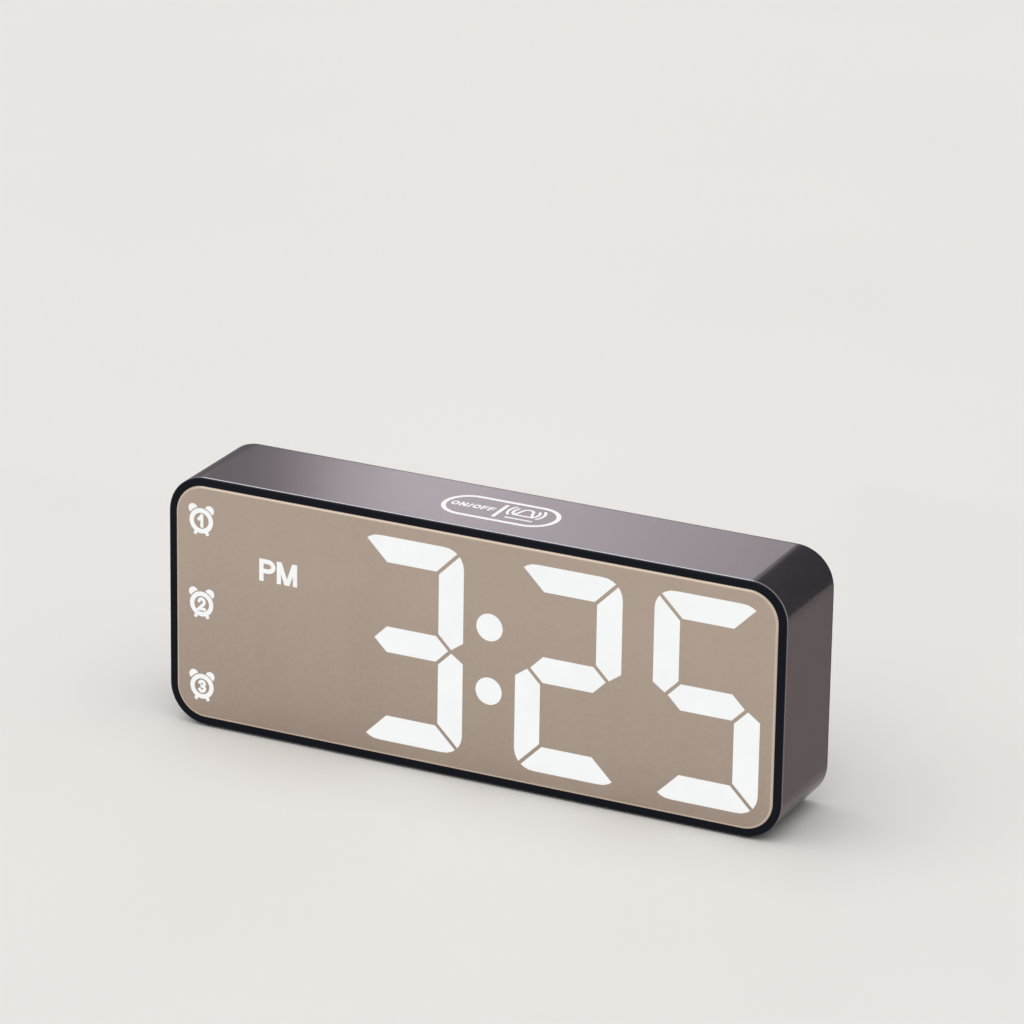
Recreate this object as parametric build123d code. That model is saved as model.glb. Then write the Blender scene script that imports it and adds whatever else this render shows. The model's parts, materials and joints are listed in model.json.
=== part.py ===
from build123d import *
import os
from math import sqrt

# Digital desk clock. Millimetres, +Z up, the lens faces -Y, and +X is to the right seen from the
# front. The origin lies under the middle of the case, on the surface that the feet stand on.

# Case
case_width = 160.0
case_height = 63.0
case_depth = 28.0
corner_radius = 9.5
wall = 2.0
sleeve_edge_radius = 0.5
edge_limit_share = 0.7
fit_gap = 0.1

# Feet
foot_radius = 4.0
foot_thickness = 1.2
foot_proud = 0.5
foot_edge_bevel = 0.3
foot_side_inset = 18.0
foot_end_inset = 7.0

# Front rim
rim_width = 1.9
rim_thickness = 0.6
rim_edge_radius = 0.4
ledge_width = 2.2
ledge_thickness = 1.2
socket_wall = 1.0
skirt_wall = 1.5
skirt_length = 1.6
clip_length = 9.0
clip_height = 0.8
clip_reach = 0.4
clip_gap = 0.1
clip_shares = (-0.32, 0.0, 0.32)

# Mirror lens and its tape
lens_proud = 0.2
lens_thickness = 1.2
lens_bevel = 0.35
lens_gap = 0.1
tape_thickness = 0.2

# Display pattern
digit_count = 4
digit_margin = 5.65
digit_gap = 8.05
digit_corner_radius = 5.0
colon_room = 5.6
colon_radius = 3.4
colon_rise_share = 0.155
segment_stroke = 6.45
segment_gap = 0.9
segment_shoulder = 2.6
alarm_window_radius = 3.6
alarm_window_margin = 8.8
alarm_window_drop = 4.65
alarm_window_count = 3
alarm_digit_gap = 3.8
afternoon_window_margin = 1.5
afternoon_window_height = 6.2

# Light box and films
film_gap = 0.15
mask_thickness = 0.25
diffuser_thickness = 0.4
box_depth = 5.5
box_gap = 0.2
box_flange_thickness = 1.2
cavity_taper = 6.0

# Display board
board_thickness = 1.6
board_gap = 0.5
lamp_width = 3.5
lamp_depth = 2.8
lamp_height = 0.8
controller_width = 18.0
controller_depth = 7.5
controller_height = 2.2
driver_width = 10.0
driver_depth = 4.0
driver_height = 1.6
driver_pitch = 13.0
chip_side_inset = 34.0

# Screws
screw_gap = 0.1
drive_width = 0.6
drive_depth = 0.7
case_screw_radius = 1.3
case_screw_length = 9.0
case_head_radius = 2.5
case_head_height = 1.6
case_head_sink = 3.0
case_head_gap = 0.3
board_screw_radius = 1.0
board_screw_length = 4.5
board_head_radius = 1.9
board_head_height = 1.2
board_screw_drop = 5.85

# Corner posts
post_inset = 8.5
post_radius = 3.2
post_rib_thickness = 1.6
post_gap = 0.1
post_tip_room = 1.0

# Rear cover
cover_thickness = 1.8
cover_flange = 1.0
cover_edge_radius = 0.6
cover_lip_length = 2.4
cover_lip_wall = 1.2
cover_post_length = 3.8

# Battery bay
cell_diameter = 10.5
cell_length = 44.5
cell_count = 3
cell_gap = 0.4
contact_room = 2.8
bay_wall = 1.2
bay_floor = 1.2
bay_lift = 1.5
bay_post_gap = 2.0

# Battery door
door_thickness = 1.6
door_ledge = 1.5
door_gap = 0.25
door_sink = 0.1
door_seat_gap = 0.1
door_corner_radius = 2.0
tab_width = 8.0
tab_pitch = 32.0
tab_reach = 1.4
tab_thickness = 1.1
tab_gap = 0.2
tab_side_gap = 0.4
tab_swing_room = 0.8
grip_rib_count = 3
grip_rib_length = 14.0
grip_rib_width = 0.9
grip_rib_depth = 0.4
grip_rib_pitch = 1.9
grip_rib_setback = 6.0

# Door latch
latch_width = 14.0
latch_thickness = 1.0
latch_slot = 0.4
latch_depth = 5.5
latch_lip = 1.4
latch_side_gap = 0.5
latch_swing_room = 0.8
latch_bend_share = 0.48

# Battery contacts
contact_thickness = 0.3
contact_width = 7.0
contact_height = 8.4
contact_bend_radius = 0.6
spring_reach = 2.5
spring_foot = 0.9
nub_radius = 2.2
nub_reach = 0.9
bridge_height = 3.0
lead_radius = 0.6
lead_gap = 0.1
lead_reach = 9.0
lead_bend_radius = 3.6

# Rear keys
key_pitch = 10.0
key_row_drop = 14.0
key_radius = 3.0
key_gap = 0.15
key_travel = 0.5
key_proud = 0.9
key_edge_radius = 0.5
key_flange_width = 0.8
key_flange_thickness = 0.8
key_flange_gap = 0.1
key_stem_radius = 1.5
key_stem_length = 0.5
key_trough_depth = 1.0
key_trough_margin = 2.0
key_wall = 1.4
key_pad_margin = 1.0

# Tact switches
switch_width = 6.0
switch_height = 3.5
plunger_radius = 1.7
plunger_height = 1.0
plunger_root = 0.3
plunger_gap = 0.15
plunger_floor_room = 0.4

# Key board
key_board_margin = 2.2
key_post_radius = 2.0
key_post_spread = 15.0
key_screw_radius = 0.9
key_screw_length = 5.0
key_head_radius = 1.7
key_head_height = 1.1

# Power inlet
inlet_shift = 14.0
inlet_drop = 12.5
inlet_width = 8.94
inlet_height = 3.26
inlet_wall = 0.3
inlet_mouth_gap = 0.2
inlet_port_width = 12.6
inlet_port_height = 7.0
inlet_port_corner = 2.5
tongue_width = 6.7
tongue_thickness = 0.7
tongue_mouth_gap = 1.2
tongue_base = 1.0
tongue_gap = 0.05

# Buzzer
buzzer_radius = 6.0
buzzer_height = 8.5
buzzer_gap = 0.1
buzzer_mouth_radius = 1.2
buzzer_mouth_depth = 2.0
buzzer_end_gap = 0.3
buzzer_lift = 14.5
buzzer_ring_wall = 1.0
buzzer_ring_length = 4.0
sound_slot_count = 5
sound_slot_width = 1.5
sound_slot_length = 10.0
sound_slot_pitch = 2.6

# Touch plate and its lead
touch_width = 26.0
touch_depth = 8.0
touch_thickness = 0.3
touch_lead_radius = 0.5
touch_lead_drop = 5.0
touch_lead_bend_radius = 2.4

# Ribbon between the boards
ribbon_thickness = 0.5
ribbon_width = 6.0
ribbon_bend_radius = 2.0
ribbon_bend_share = 0.45
header_width = 3.0
header_length = 8.0
header_height = 2.4
header_near_shift = 19.0
header_far_shift = 4.0

# Levels from front to rear
front_y = -case_depth / 2
rear_y = case_depth / 2
rim_front = front_y + lens_proud
sleeve_front = rim_front + rim_thickness
lens_rear = front_y + lens_thickness
ledge_front = lens_rear + tape_thickness
ledge_rear = ledge_front + ledge_thickness
skirt_rear = ledge_rear + skirt_length
socket_floor = skirt_rear + fit_gap
mask_rear = lens_rear + mask_thickness
box_front = mask_rear + diffuser_thickness
box_rear = box_front + box_depth
board_rear = box_rear + board_thickness
post_front = board_rear + post_gap
sleeve_rear = rear_y - cover_flange
cover_inner = rear_y - cover_thickness
post_rear = cover_inner - cover_post_length
case_head_seat = rear_y - case_head_sink

# Insets from the case's outline
plug_inset = socket_wall + fit_gap
lens_inset = rim_width + lens_gap
window_inset = rim_width + ledge_width
box_flange_inset = plug_inset + skirt_wall + fit_gap

# Heights
case_middle = foot_proud + case_height / 2
case_top = foot_proud + case_height
post_x = case_width / 2 - post_inset
post_spread = case_height / 2 - post_inset
post_places = [(sx * post_x, case_middle + sz * post_spread) for sx in (-1, 1) for sz in (-1, 1)]

# Battery bay and door
bay_length = cell_length + 2 * contact_room
bay_height = cell_count * (cell_diameter + cell_gap) + cell_gap
door_width = bay_length + 2 * door_ledge
door_height = bay_height + 2 * door_ledge
door_outer = rear_y - door_sink
door_inner = door_outer - door_thickness
door_seat = door_inner - door_seat_gap
bay_floor_y = door_inner - cell_diameter - cell_gap
bay_front = bay_floor_y - bay_floor
bay_rim = door_gap + bay_wall
door_bottom = foot_proud + wall + bay_lift + bay_rim
door_top = door_bottom + door_height
bay_middle = door_bottom + door_height / 2
bay_half_width = door_width / 2 + bay_rim
bay_x = post_x - post_radius - bay_post_gap - bay_half_width
bay_place = Pos(bay_x, 0, 0)
tab_rear = min(door_inner, cover_inner) - tab_gap
tab_front = tab_rear - tab_thickness
latch_low = door_top - door_ledge + latch_thickness / 2
latch_high = door_top + latch_slot + latch_thickness / 2
latch_deep = door_inner - latch_depth
latch_top = latch_high + latch_thickness / 2 + latch_lip
latch_pocket_top = latch_top + latch_swing_room
latch_pocket_low = latch_low - latch_thickness / 2 - latch_swing_room
latch_pocket_deep = latch_deep - latch_thickness / 2 - latch_swing_room

# Rear keys and their board, in the room between the bay and the corner posts
key_names = ("set", "alarm", "up", "down", "light")
key_span = (len(key_names) - 1) * key_pitch
key_x = (bay_x - bay_half_width - post_x + post_radius) / 2
key_places = [key_x + index * key_pitch - key_span / 2 for index in range(len(key_names))]
key_row_z = case_top - key_row_drop
key_floor = rear_y - key_trough_depth
key_pad_front = key_floor - key_wall
key_flange_rear = key_pad_front - key_flange_gap
key_flange_front = key_flange_rear - key_flange_thickness
plunger_rear = key_flange_front - key_stem_length
switch_rear = plunger_rear - plunger_height
switch_bore = plunger_height - plunger_root + key_travel + plunger_floor_room
key_board_rear = switch_rear - switch_height
key_board_front = key_board_rear - board_thickness
inlet_x = key_x - inlet_shift
inlet_z = key_row_z - inlet_drop
inlet_mouth = cover_inner - inlet_mouth_gap
between_rows_z = (key_row_z + inlet_z) / 2
key_post_places = [(key_x + side * key_post_spread, between_rows_z) for side in (-1, 1)]
buzzer_x = key_x
buzzer_z = foot_proud + buzzer_lift
buzzer_rear = cover_inner - buzzer_end_gap
buzzer_front = buzzer_rear - buzzer_height

# Display places
alarm_window_x = alarm_window_margin - case_width / 2
digit_start = alarm_window_x + alarm_window_radius + alarm_digit_gap
digit_end = case_width / 2 - digit_margin
digit_width = (digit_end - digit_start - colon_room - (digit_count - 1) * digit_gap) / digit_count
digit_height = case_height - 2 * digit_margin
digit_pitch = digit_width + digit_gap
minute_units_x = digit_end - digit_width / 2
minute_tens_x = minute_units_x - digit_pitch
hour_units_x = minute_tens_x - digit_pitch - colon_room
hour_tens_x = hour_units_x - digit_pitch
digit_places = (hour_tens_x, hour_units_x, minute_tens_x, minute_units_x)
colon_x = (hour_units_x + minute_tens_x) / 2
alarm_window_rise = digit_height / 2 - alarm_window_drop
alarm_window_pitch = 2 * alarm_window_rise / (alarm_window_count - 1)
afternoon_window_width = digit_width - 2 * (segment_stroke + afternoon_window_margin)
board_screw_rise = digit_height / 2 - board_screw_drop
board_screw_places = [
    (x, case_middle + side * board_screw_rise)
    for x in ((hour_tens_x + hour_units_x) / 2, colon_x)
    for side in (-1, 1)
]


def slab(face, y_from, y_to):
    """Carries a face drawn in X and Z from one depth to another."""
    return extrude(Plane.XZ.offset(-y_from) * face, amount=y_from - y_to)


def case_outline(inset):
    """The case's rounded outline, drawn in by an inset."""
    face = RectangleRounded(case_width - 2 * inset, case_height - 2 * inset, corner_radius - inset)
    return Pos(0, case_middle) * face


def ring(outer_inset, inner_inset, y_from, y_to):
    """A frame between two insets of the case's outline."""
    return slab(case_outline(outer_inset) - case_outline(inner_inset), y_from, y_to)


def panel(x, z, width, height):
    """A rectangle in X and Z about its middle."""
    return Pos(x, z) * Rectangle(width, height)


def disc(x, z, radius):
    """A circle in X and Z."""
    return Pos(x, z) * Circle(radius)


def front_edges(solid):
    """The edges of the face that lies furthest forward."""
    return solid.faces().sort_by(Axis.Y)[0].edges()


def rear_edges(solid):
    """The edges of the face that lies furthest back."""
    return solid.faces().sort_by(Axis.Y)[-1].edges()


def clip_blocks(reach, gap):
    """Blocks along the top and the bottom of the rim's plug, from its wall outwards."""
    height = case_height / 2 - plug_inset
    rear = skirt_rear + gap
    front = skirt_rear - clip_height - gap
    width = clip_length + 2 * gap
    root = skirt_wall / 2
    blocks = []
    for share in clip_shares:
        for side in (-1, 1):
            z = case_middle + side * (height + (reach - root) / 2)
            blocks.append(slab(panel(share * case_width, z, width, reach + root), front, rear))
    return blocks


def make_front_bezel():
    """Black rim with a pocket and a ledge for the lens, and a skirt that clips into the sleeve."""
    rim = slab(case_outline(0), rim_front, sleeve_front)
    rim = fillet(front_edges(rim), min(rim_edge_radius, rim_thickness * edge_limit_share))
    rim -= slab(case_outline(rim_width), rim_front, sleeve_front)
    web = ring(plug_inset, rim_width, sleeve_front, ledge_front)
    ledge = ring(plug_inset, window_inset, ledge_front, ledge_rear)
    skirt = ring(plug_inset, plug_inset + skirt_wall, ledge_rear, skirt_rear)
    return rim + [web, ledge, skirt] + clip_blocks(clip_reach, 0)


def make_mirror_lens():
    """Tinted half-mirror plate with a bevelled front edge."""
    lens = slab(case_outline(lens_inset), front_y, lens_rear)
    return chamfer(front_edges(lens), min(lens_bevel, lens_thickness * edge_limit_share))


def make_lens_tape():
    """Adhesive frame between the lens and the ledge."""
    return ring(lens_inset, window_inset, lens_rear, ledge_front)


def segment_faces(x):
    """The seven windows of one digit, mitred at their ends and rounded at the digit's corners."""
    half_width = digit_width / 2
    half_height = digit_height / 2
    step = segment_gap / sqrt(2)
    stroke = segment_stroke
    top = [
        (step - half_width, half_height),
        (half_width - step, half_height),
        (half_width - stroke - step, half_height - stroke),
        (stroke + step - half_width, half_height - stroke),
    ]
    middle = [
        (stroke / 2 + step - half_width, 0),
        (stroke + step - half_width, stroke / 2),
        (half_width - stroke - step, stroke / 2),
        (half_width - stroke / 2 - step, 0),
        (half_width - stroke - step, -stroke / 2),
        (stroke + step - half_width, -stroke / 2),
    ]
    upright = [
        (-half_width, half_height - step),
        (stroke - half_width, half_height - stroke - step),
        (stroke - half_width, stroke / 2 + step),
        (stroke / 2 - step + segment_gap / 2 - half_width, segment_gap / 2),
        (-half_width, segment_shoulder),
    ]
    outlines = [top, [(u, -v) for u, v in top], middle]
    outlines += [[(su * u, sv * v) for u, v in upright] for su in (-1, 1) for sv in (-1, 1)]
    frame = RectangleRounded(digit_width, digit_height, digit_corner_radius)
    faces = [make_face(Polyline(*outline, close=True)) & frame for outline in outlines]
    return [Pos(x, case_middle) * face for face in faces]


def window_faces():
    """Every window of the display: digits, colon dots, afternoon sign and alarm signs."""
    faces = [face for x in digit_places for face in segment_faces(x)]
    for side in (-1, 1):
        faces.append(disc(colon_x, case_middle + side * colon_rise_share * digit_height, colon_radius))
    upper_loop_z = case_middle + digit_height / 4 - segment_stroke / 4
    faces.append(panel(hour_tens_x, upper_loop_z, afternoon_window_width, afternoon_window_height))
    for index in range(alarm_window_count):
        lift = (index - (alarm_window_count - 1) / 2) * alarm_window_pitch
        faces.append(disc(alarm_window_x, case_middle + lift, alarm_window_radius))
    return faces


def make_segment_mask():
    """Black film with the display's windows."""
    sheet = slab(case_outline(window_inset + film_gap), lens_rear, mask_rear)
    return sheet - [slab(face, lens_rear, mask_rear) for face in window_faces()]


def make_diffuser_sheet():
    """Milky film that spreads the lamps' light."""
    return slab(case_outline(window_inset + film_gap), mask_rear, box_front)


def make_light_box():
    """Reflector block with a cavity behind each window, narrowing towards its lamp."""
    block = slab(case_outline(window_inset + box_gap), box_front, box_rear)
    block += slab(case_outline(box_flange_inset), ledge_rear, ledge_rear + box_flange_thickness)
    plane = Plane.XZ.offset(-box_front)
    block -= [extrude(plane * face, amount=-box_depth, taper=cavity_taper) for face in window_faces()]
    pilot = board_screw_radius + screw_gap
    pilot_end = board_rear - board_screw_length - screw_gap
    return block - [slab(disc(x, z, pilot), pilot_end, box_rear) for x, z in board_screw_places]


def make_display_board():
    """Circuit board behind the light box."""
    face = case_outline(wall + board_gap)
    face -= [disc(x, z, board_screw_radius + screw_gap) for x, z in board_screw_places]
    return slab(face, box_rear, board_rear)


def make_led_chips():
    """One lamp on the board at the middle of each window."""
    chips = []
    for face in window_faces():
        middle = face.center()
        outline = panel(middle.X, middle.Y, lamp_depth, lamp_depth)
        if face.bounding_box().size.X > face.bounding_box().size.Y:
            outline = panel(middle.X, middle.Y, lamp_width, lamp_depth)
        chips.append(slab(outline, box_rear - lamp_height, box_rear))
    return Compound(chips)


def make_controller_chip():
    """Clock chip on the back of the display board."""
    face = panel(chip_side_inset - case_width / 2, case_middle, controller_depth, controller_width)
    return slab(face, board_rear, board_rear + controller_height)


def make_driver_chips():
    """Two lamp drivers beside the clock chip."""
    x = chip_side_inset - case_width / 2 - controller_depth - driver_depth
    places = [case_middle + side * driver_pitch / 2 for side in (-1, 1)]
    outlines = [panel(x, z, driver_depth, driver_width) for z in places]
    return Compound([slab(face, board_rear, board_rear + driver_height) for face in outlines])


def screw(x, z, seat, length, radius, head_radius, head_height, facing):
    """A pan-head screw along Y whose head faces back (1) or forward (-1), with a cross drive."""
    top = seat + facing * head_height
    body = slab(disc(x, z, head_radius), seat, top) + slab(disc(x, z, radius), seat - facing * length, seat)
    long_bar = panel(x, z, head_radius, drive_width)
    short_bar = panel(x, z, drive_width, head_radius)
    return body - slab(long_bar + short_bar, top - facing * drive_depth, top)


def make_board_screws():
    """Four screws through the display board into the light box."""
    sizes = (board_screw_length, board_screw_radius, board_head_radius, board_head_height)
    return Compound([screw(x, z, board_rear, *sizes, 1) for x, z in board_screw_places])


def make_case_screws():
    """Four screws through the rear cover into the sleeve's corner posts."""
    sizes = (case_screw_length, case_screw_radius, case_head_radius, case_head_height)
    return Compound([screw(x, z, case_head_seat, *sizes, 1) for x, z in post_places])


def corner_post(x, z):
    """A post in one corner of the sleeve, with a rib to each of the two walls."""
    side = 1 if x > 0 else -1
    up = 1 if z > case_middle else -1
    reach = post_inset - wall / 2
    level = panel(x + side * reach / 2, z, reach, post_rib_thickness)
    upright = panel(x, z + up * reach / 2, post_rib_thickness, reach)
    return slab(disc(x, z, post_radius) + level + upright, post_front, post_rear)


def foot_places():
    """Middles of the four feet."""
    x = case_width / 2 - foot_side_inset
    y = case_depth / 2 - foot_end_inset
    return [(sx * x, sy * y) for sx in (-1, 1) for sy in (-1, 1)]


def make_housing():
    """Moulded sleeve with corner posts, foot recesses and a socket for the rim."""
    sleeve = slab(case_outline(0), sleeve_front, sleeve_rear)
    sleeve = fillet(front_edges(sleeve), min(sleeve_edge_radius, socket_wall * edge_limit_share))
    sleeve -= slab(case_outline(wall), sleeve_front, sleeve_rear)
    sleeve -= slab(case_outline(socket_wall), sleeve_front, socket_floor)
    sleeve -= clip_blocks(clip_reach + fit_gap, clip_gap)
    sleeve += [corner_post(x, z) for x, z in post_places]
    pilot = case_screw_radius + screw_gap
    pilot_end = max(case_head_seat - case_screw_length - post_tip_room, post_front)
    sleeve -= [slab(disc(x, z, pilot), pilot_end, post_rear) for x, z in post_places]
    recess = extrude(Circle(foot_radius + fit_gap), amount=foot_thickness - foot_proud)
    return sleeve - [Pos(x, y, foot_proud) * recess for x, y in foot_places()]


def make_feet():
    """Four pads in recesses of the underside."""
    pad = extrude(Circle(foot_radius), amount=foot_thickness)
    lower_edge = pad.faces().sort_by(Axis.Z)[0].edges()
    pad = chamfer(lower_edge, min(foot_edge_bevel, foot_thickness * edge_limit_share))
    return Compound([Pos(x, y, 0) * pad for x, y in foot_places()])


def make_touch_plate():
    """Sensing plate bonded under the top wall."""
    inner_top = case_top - wall
    plate = Plane.XY.offset(inner_top - touch_thickness) * Rectangle(touch_width, touch_depth)
    return extrude(plate, amount=touch_thickness)


def wire(points, radius, bend_radius):
    """A round wire along straight runs joined by tangent arcs."""
    path = FilletPolyline(*points, radius=bend_radius)
    section = Plane(origin=path @ 0, z_dir=path % 0) * Circle(radius)
    return sweep(section, path=path)


def make_touch_lead():
    """Wire from the touch plate down to the display board."""
    start = case_top - wall - touch_thickness
    low = start - touch_lead_drop
    points = [(0, 0, start), (0, 0, low), (0, board_rear, low)]
    return wire(points, touch_lead_radius, touch_lead_bend_radius)


def cell_z(index):
    """Height of one cell's axis."""
    return bay_middle + (index - (cell_count - 1) / 2) * (cell_diameter + cell_gap)


def nub_side(index):
    """The end of the bay with a cell's flat contact: right for even cells, left for odd ones."""
    return 1 if index % 2 == 0 else -1


def contact_base(side, z):
    """Flat strip against an end wall of the bay."""
    x = side * (bay_length - contact_thickness) / 2
    y_from = bay_floor_y + (cell_diameter - contact_height) / 2
    return slab(panel(x, z, contact_thickness, contact_width), y_from, y_from + contact_height)


def contact_spring(side, z):
    """Base strip folded over into a leaf that pushes on the cell's end."""
    low = bay_floor_y + (cell_diameter - contact_height) / 2
    high = low + contact_height
    back = bay_length / 2 - contact_thickness / 2
    tip = bay_length / 2 - spring_reach
    foot = bay_length / 2 - spring_foot
    points = [
        (back, low),
        (back, high),
        (tip, (low + high) / 2),
        (foot, low + contact_bend_radius),
    ]
    strip = trace(FilletPolyline(*points, radius=contact_bend_radius), contact_thickness)
    leaf = extrude(Plane.XY.offset(z - contact_width / 2) * strip, amount=contact_width)
    return leaf if side > 0 else mirror(leaf, about=Plane.YZ)


def contact_nub(side, z):
    """Base strip with a round nub that meets the cell's tip."""
    x = side * (bay_length / 2 - contact_thickness)
    plane = Plane(origin=(x, bay_floor_y + cell_diameter / 2, z), z_dir=(-side, 0, 0))
    return contact_base(side, z) + extrude(plane * Circle(nub_radius), amount=nub_reach)


def make_battery_contact_minus():
    """Spring contact at the first cell."""
    return bay_place * contact_spring(-nub_side(0), cell_z(0))


def make_battery_contact_plus():
    """Flat contact at the last cell."""
    last = cell_count - 1
    return bay_place * contact_nub(nub_side(last), cell_z(last))


def make_battery_contact_bridges():
    """Stamped strips that each join one cell's tip to the next cell's base."""
    bridges = []
    for index in range(cell_count - 1):
        side = nub_side(index)
        low = cell_z(index)
        high = cell_z(index + 1)
        x = side * (bay_length - contact_thickness) / 2
        y = bay_floor_y + (cell_diameter - bridge_height) / 2
        link = slab(panel(x, (low + high) / 2, contact_thickness, high - low), y, y + bridge_height)
        bridges.append(bay_place * (contact_nub(side, low) + link + contact_spring(side, high)))
    return Compound(bridges)


def lead_places():
    """The end of the bay and the height at which each battery lead leaves it."""
    last = cell_count - 1
    return [(-nub_side(0), cell_z(0)), (nub_side(last), cell_z(last))]


def make_battery_leads():
    """Two wires from the end contacts, through the bay's walls, to the display board."""
    y = bay_floor_y + cell_diameter / 2
    inner = bay_length / 2
    outer = bay_half_width + lead_reach
    leads = []
    for side, z in lead_places():
        points = [(side * inner, y, z), (side * outer, y, z), (side * outer, board_rear, z)]
        leads.append(bay_place * wire(points, lead_radius, lead_bend_radius))
    return Compound(leads)


def bay_cuts():
    """What the battery bay, its door, its latch and the battery leads take out of the rear cover."""
    seat = RectangleRounded(door_width + 2 * door_gap, door_height + 2 * door_gap, door_corner_radius)
    cuts = [
        slab(Pos(0, bay_middle) * seat, door_seat, rear_y),
        slab(panel(0, bay_middle, bay_length, bay_height), bay_floor_y, rear_y),
    ]
    tab_low = door_bottom - tab_reach - tab_side_gap
    tab_high = door_bottom + door_ledge
    tab_face_width = tab_width + 2 * tab_side_gap
    for side in (-1, 1):
        face = panel(side * tab_pitch / 2, (tab_low + tab_high) / 2, tab_face_width, tab_high - tab_low)
        cuts.append(slab(face, tab_front - tab_swing_room, tab_rear + tab_gap))
        root_low = door_bottom - door_gap
        root = panel(side * tab_pitch / 2, (root_low + tab_high) / 2, tab_face_width, tab_high - root_low)
        cuts.append(slab(root, tab_front - tab_swing_room, door_seat))
    pocket_height = latch_pocket_top - latch_pocket_low
    pocket_middle = (latch_pocket_top + latch_pocket_low) / 2
    pocket = panel(0, pocket_middle, latch_width + 2 * latch_side_gap, pocket_height)
    cuts.append(slab(pocket, latch_pocket_deep, rear_y))
    y = bay_floor_y + cell_diameter / 2
    hole = door_ledge + bay_rim
    for side, z in lead_places():
        plane = Plane(origin=(side * bay_length / 2, y, z), z_dir=(side, 0, 0))
        cuts.append(extrude(plane * Circle(lead_radius + lead_gap), amount=hole))
    return [bay_place * cut for cut in cuts]


def key_trough(margin):
    """Rounded outline round the row of keys."""
    height = 2 * (key_radius + key_trough_margin + margin)
    return Pos(key_x, key_row_z) * SlotOverall(key_span + height, height)


def make_rear_cover():
    """Moulded back with the battery bay, key trough, inlet port, sound slots and screw posts."""
    plate = slab(case_outline(0), sleeve_rear, rear_y)
    plate = fillet(rear_edges(plate), min(cover_edge_radius, cover_flange * edge_limit_share))
    lip_inset = wall + fit_gap
    plate += slab(case_outline(lip_inset), cover_inner, sleeve_rear)
    plate += ring(lip_inset, lip_inset + cover_lip_wall, cover_inner - cover_lip_length, cover_inner)
    plate += [slab(disc(x, z, post_radius), post_rear, cover_inner) for x, z in post_places]
    bay = panel(bay_x, bay_middle, 2 * bay_half_width, door_height + 2 * bay_rim)
    plate += slab(bay, bay_front, cover_inner)
    pocket_low = door_top
    pocket_high = latch_pocket_top + bay_wall
    pocket_width = latch_width + 2 * (latch_side_gap + bay_wall)
    pocket = panel(bay_x, (pocket_low + pocket_high) / 2, pocket_width, pocket_high - pocket_low)
    plate += slab(pocket, latch_pocket_deep - bay_wall, cover_inner)
    plate += slab(key_trough(key_pad_margin), key_pad_front, cover_inner)
    for x, z in key_post_places:
        plate += slab(disc(x, z, key_post_radius), key_board_rear, cover_inner)
    ring_radius = buzzer_radius + buzzer_gap
    holder = disc(buzzer_x, buzzer_z, ring_radius + buzzer_ring_wall) - disc(buzzer_x, buzzer_z, ring_radius)
    plate += slab(holder, cover_inner - buzzer_ring_length, cover_inner)
    plate -= bay_cuts()
    plate -= slab(key_trough(0), key_floor, rear_y)
    holes = [disc(x, key_row_z, key_radius + key_gap) for x in key_places]
    plate -= [slab(hole, key_pad_front, key_floor) for hole in holes]
    pilot = key_screw_radius + screw_gap
    pilot_end = key_board_rear + key_screw_length
    for x, z in key_post_places:
        plate -= slab(disc(x, z, pilot), key_board_rear, pilot_end)
    port = RectangleRounded(inlet_port_width, inlet_port_height, inlet_port_corner)
    plate -= slab(Pos(inlet_x, inlet_z) * port, cover_inner, rear_y)
    for index in range(sound_slot_count):
        lift = (index - (sound_slot_count - 1) / 2) * sound_slot_pitch
        slot = Pos(buzzer_x, buzzer_z + lift) * SlotOverall(sound_slot_length, sound_slot_width)
        plate -= slab(slot, cover_inner, rear_y)
    for x, z in post_places:
        plate -= slab(disc(x, z, case_screw_radius + screw_gap), post_rear, rear_y)
        plate -= slab(disc(x, z, case_head_radius + case_head_gap), case_head_seat, rear_y)
    return plate


def make_battery_door():
    """Door with two hooked tabs below and a folded spring latch above."""
    face = Pos(0, bay_middle) * RectangleRounded(door_width, door_height, door_corner_radius)
    door = slab(face, door_inner, door_outer)
    for side in (-1, 1):
        x = side * tab_pitch / 2
        root = panel(x, door_bottom + door_ledge / 2, tab_width, door_ledge)
        door += slab(root, tab_front, door_inner)
        low = door_bottom - tab_reach
        high = door_bottom + door_ledge
        hook = panel(x, (low + high) / 2, tab_width, high - low)
        door += slab(hook, tab_front, tab_rear)
    lip_y = door_outer - latch_thickness / 2
    points = [
        (door_inner, latch_low),
        (latch_deep, latch_low),
        (latch_deep, latch_high),
        (lip_y, latch_high),
        (lip_y, latch_top),
    ]
    bend = latch_bend_share * (latch_high - latch_low)
    strip = trace(FilletPolyline(*points, radius=bend), latch_thickness)
    door += extrude(Plane.YZ.offset(-latch_width / 2) * strip, amount=latch_width)
    for index in range(grip_rib_count):
        z = door_top - grip_rib_setback - index * grip_rib_pitch
        groove = Pos(0, z) * SlotOverall(grip_rib_length, grip_rib_width)
        door -= slab(groove, door_outer - grip_rib_depth, door_outer)
    return bay_place * door


def make_key(x):
    """A round key with a flange behind the cover and a short stem."""
    outer = key_floor + key_proud
    cap = slab(disc(x, key_row_z, key_radius), key_flange_front, outer)
    cap = fillet(rear_edges(cap), min(key_edge_radius, key_radius * edge_limit_share))
    cap += slab(disc(x, key_row_z, key_radius + key_flange_width), key_flange_front, key_flange_rear)
    return cap + slab(disc(x, key_row_z, key_stem_radius), plunger_rear, key_flange_front)


def make_plunger(x):
    """The sprung pin of one tact switch."""
    return slab(disc(x, key_row_z, plunger_radius), switch_rear - plunger_root, plunger_rear)


def make_switch_bodies():
    """Tact switch bodies, each bored for its plunger."""
    bodies = []
    for x in key_places:
        body = slab(panel(x, key_row_z, switch_width, switch_width), key_board_rear, switch_rear)
        bore = disc(x, key_row_z, plunger_radius + plunger_gap)
        bodies.append(body - slab(bore, switch_rear - switch_bore, switch_rear))
    return Compound(bodies)


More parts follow.
